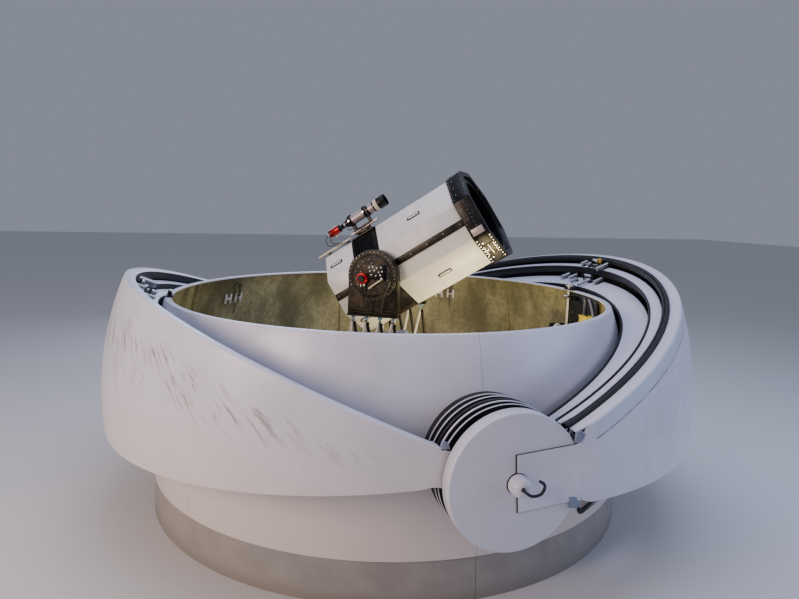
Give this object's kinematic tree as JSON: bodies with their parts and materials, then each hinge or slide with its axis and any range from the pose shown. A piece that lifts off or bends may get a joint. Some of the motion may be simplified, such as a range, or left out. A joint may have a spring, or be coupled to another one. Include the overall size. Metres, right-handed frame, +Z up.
{
  "type": "clamshell observatory dome with telescope",
  "caption": "Round-walled clamshell observatory dome standing open: overlapping curved shutters on two hubs, curb ring, drives and the telescope on its fork mount.",
  "frame": {"origin": "on the ground at the centre of the round wall, under the telescope pier's foot", "axes": "+Z up, Y along the shutters' pivot axis with the front hub at -Y, +X towards the shutters that overlap when closed"},
  "size_m": [6.316, 6.6717, 3.5718],
  "materials": {
    "concrete": "rough cast, stained",
    "wall_gelcoat": "semi-gloss cream gelcoat",
    "shutter_gelcoat": "semi-gloss white gelcoat",
    "seal_rubber": "matt black",
    "black_paint": "satin black",
    "bare_steel": "bright zinc",
    "anodised": "black anodised",
    "tube_white": "satin white powder coat",
    "red_anodised": "red anodised",
    "pier_paint": "satin grey"
  },
  "bodies": {
    "dome_base": {"curb_quarter_1": "concrete", "curb_quarter_2": "concrete", "curb_quarter_3": "concrete", "curb_quarter_4": "concrete", "wall_panel_1": "wall_gelcoat", "wall_panel_2": "wall_gelcoat", "wall_panel_3": "wall_gelcoat", "wall_panel_4": "wall_gelcoat", "wall_panel_5": "wall_gelcoat", "wall_panel_6": "wall_gelcoat", "access_gasket": "seal_rubber", "rim_pulley_right": "bare_steel", "rim_pulley_left": "bare_steel", "drive_box_right": "black_paint", "drive_box_left": "black_paint", "telescope_pier": "pier_paint", "hub_boss_front": "wall_gelcoat", "hub_boss_back": "wall_gelcoat", "pivot_spindle_front": "black_paint", "pivot_spindle_back": "black_paint", "pivot_hook_front": "seal_rubber"},
    "right_outer": {"shutter_right_outer": "shutter_gelcoat", "seal_right_outer": "seal_rubber", "hub_pan_front": "shutter_gelcoat", "hub_pan_back": "shutter_gelcoat"},
    "right_middle": {"shutter_right_middle": "shutter_gelcoat", "seal_right_middle": "seal_rubber", "belt_bracket_right_middle": "bare_steel"},
    "right_inner": {"shutter_right_inner": "shutter_gelcoat", "seal_right_inner": "seal_rubber", "belt_bracket_right_inner": "bare_steel"},
    "left_outer": {"shutter_left_outer": "shutter_gelcoat"},
    "left_middle": {"shutter_left_middle": "shutter_gelcoat", "belt_bracket_left_middle": "bare_steel"},
    "left_inner": {"shutter_left_inner": "shutter_gelcoat", "belt_bracket_left_inner": "bare_steel"},
    "telescope_mount": {"azimuth_turntable": "anodised", "strut_tower_near": "bare_steel", "strut_tower_far": "bare_steel", "fork_arm_near": "anodised", "fork_arm_far": "anodised", "bearing_cap_near": "anodised", "bearing_cap_far": "anodised", "altitude_motor": "red_anodised"},
    "telescope_tube": {"tube_front": "tube_white", "tube_centre": "anodised", "tube_rear": "tube_white", "tube_front_ring": "anodised", "tube_strip_near": "anodised", "tube_strip_far": "anodised", "guide_scope": "tube_white", "guide_stand": "anodised", "guide_camera": "red_anodised"}
  },
  "joints": [
    {"name": "right_outer_swing", "type": "hinge", "parent": "dome_base", "child": "right_outer", "pos_m": [0, 0, 1.26], "axis": [0, -1, 0], "range_deg": [0, 68]},
    {"name": "right_middle_swing", "type": "hinge", "parent": "dome_base", "child": "right_middle", "pos_m": [0, 0, 1.26], "axis": [0, -1, 0], "range_deg": [0, 45.34]},
    {"name": "right_inner_swing", "type": "hinge", "parent": "dome_base", "child": "right_inner", "pos_m": [0, 0, 1.26], "axis": [0, -1, 0], "range_deg": [0, 22.67]},
    {"name": "left_outer_swing", "type": "hinge", "parent": "dome_base", "child": "left_outer", "pos_m": [0, 0, 1.26], "axis": [0, 1, 0], "range_deg": [0, 67.25]},
    {"name": "left_middle_swing", "type": "hinge", "parent": "dome_base", "child": "left_middle", "pos_m": [0, 0, 1.26], "axis": [0, 1, 0], "range_deg": [0, 44.84]},
    {"name": "left_inner_swing", "type": "hinge", "parent": "dome_base", "child": "left_inner", "pos_m": [0, 0, 1.26], "axis": [0, 1, 0], "range_deg": [0, 22.42]},
    {"name": "mount_azimuth", "type": "hinge", "parent": "dome_base", "child": "telescope_mount", "pos_m": [0, 0, 1.1], "axis": [0, 0, 1], "range_deg": [-180, 180]},
    {"name": "tube_altitude", "type": "hinge", "parent": "telescope_mount", "child": "telescope_tube", "pos_m": [0, 0, 2.45], "axis": [-0.5736, -0.8192, 0], "range_deg": [-27.4, 57.6]}
  ],
  "couplings": [
    {"joint": "right_middle_swing", "follows": "right_outer_swing", "ratio": 0.66667},
    {"joint": "right_inner_swing", "follows": "right_outer_swing", "ratio": 0.33333},
    {"joint": "left_middle_swing", "follows": "left_outer_swing", "ratio": 0.66667},
    {"joint": "left_inner_swing", "follows": "left_outer_swing", "ratio": 0.33333}
  ]
}
